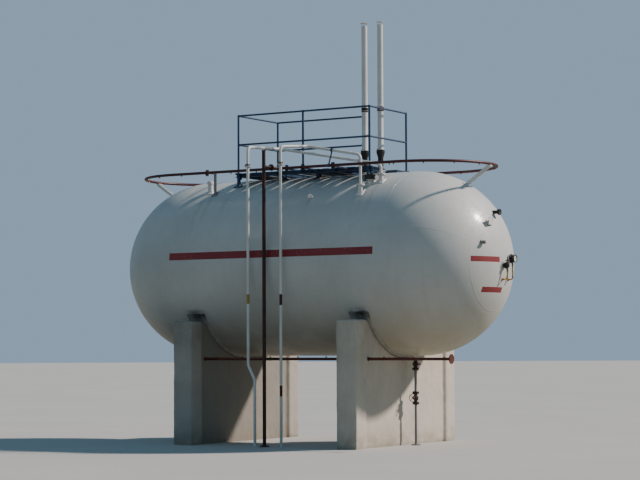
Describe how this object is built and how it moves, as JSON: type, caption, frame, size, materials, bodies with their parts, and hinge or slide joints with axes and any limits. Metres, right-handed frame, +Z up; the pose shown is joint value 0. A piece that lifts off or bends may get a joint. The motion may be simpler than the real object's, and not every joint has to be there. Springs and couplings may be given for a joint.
{
  "type": "horizontal gas storage tank",
  "caption": "Horizontal gas storage tank with domed ends on concrete saddle piers, with a railed top platform, spray ring, risers, vent stacks, gauge and drain.",
  "frame": {"origin": "on the ground, under the middle of the vessel's length and on its centre line", "axes": "+X along the vessel to its gauge end, +Y to the side away from the risers, +Z up"},
  "size_m": [7.39, 3.45, 7.228],
  "materials": {
    "white_paint": "satin weathered",
    "limewash": "limewashed rendered concrete",
    "red_paint": "satin weathered",
    "blue_paint": "satin weathered",
    "black_paint": "satin",
    "grey_paint": "satin weathered",
    "brass": "dull, weathered",
    "bare_steel": "dull, rusty in places"
  },
  "bodies": {
    "root": {"shell_barrel": "white_paint", "head_left": "white_paint", "head_right": "white_paint", "ring_strut_left": "white_paint", "ring_strut_right": "white_paint", "vapour_nozzle": "white_paint", "liquid_nozzle": "white_paint", "vapour_line_riser": "white_paint", "vapour_line_top": "white_paint", "liquid_line_riser": "white_paint", "liquid_line_top": "white_paint", "spare_nozzle": "white_paint", "relief_nozzle_left": "white_paint", "relief_nozzle_right": "white_paint", "vent_stack_left": "white_paint", "vent_stack_right": "white_paint", "gauge_boss": "white_paint", "data_plate": "white_paint", "drain_nozzle": "white_paint", "lifting_lug_near": "white_paint", "lifting_lug_far": "white_paint", "left_coupling": "white_paint", "pier_left": "limewash", "pier_right": "limewash", "spray_ring": "red_paint", "spray_riser": "red_paint", "spray_feed_upper": "red_paint", "spray_feed_lower": "red_paint", "lower_spray_pipe": "red_paint", "platform_frame": "blue_paint", "rail_near": "blue_paint", "rail_far": "blue_paint", "rail_left_end": "blue_paint", "rail_right_end": "blue_paint", "spare_nozzle_cover": "black_paint", "relief_valve_left": "black_paint", "relief_valve_right": "black_paint", "level_gauge": "black_paint", "sample_valve": "black_paint", "head_nozzle": "black_paint", "head_nozzle_cover": "black_paint", "drain_valve_upper": "black_paint", "drain_valve_lower": "black_paint", "gauge_pipe": "brass", "sample_pipe": "brass", "ring_post_near": "grey_paint", "ring_post_far": "grey_paint", "drain_pipe_middle": "grey_paint", "drain_pipe_lower": "grey_paint", "saddle_pad_left": "bare_steel", "saddle_pad_right": "bare_steel", "deck_plate": "bare_steel", "thermowell": "bare_steel"}
  },
  "joints": []
}
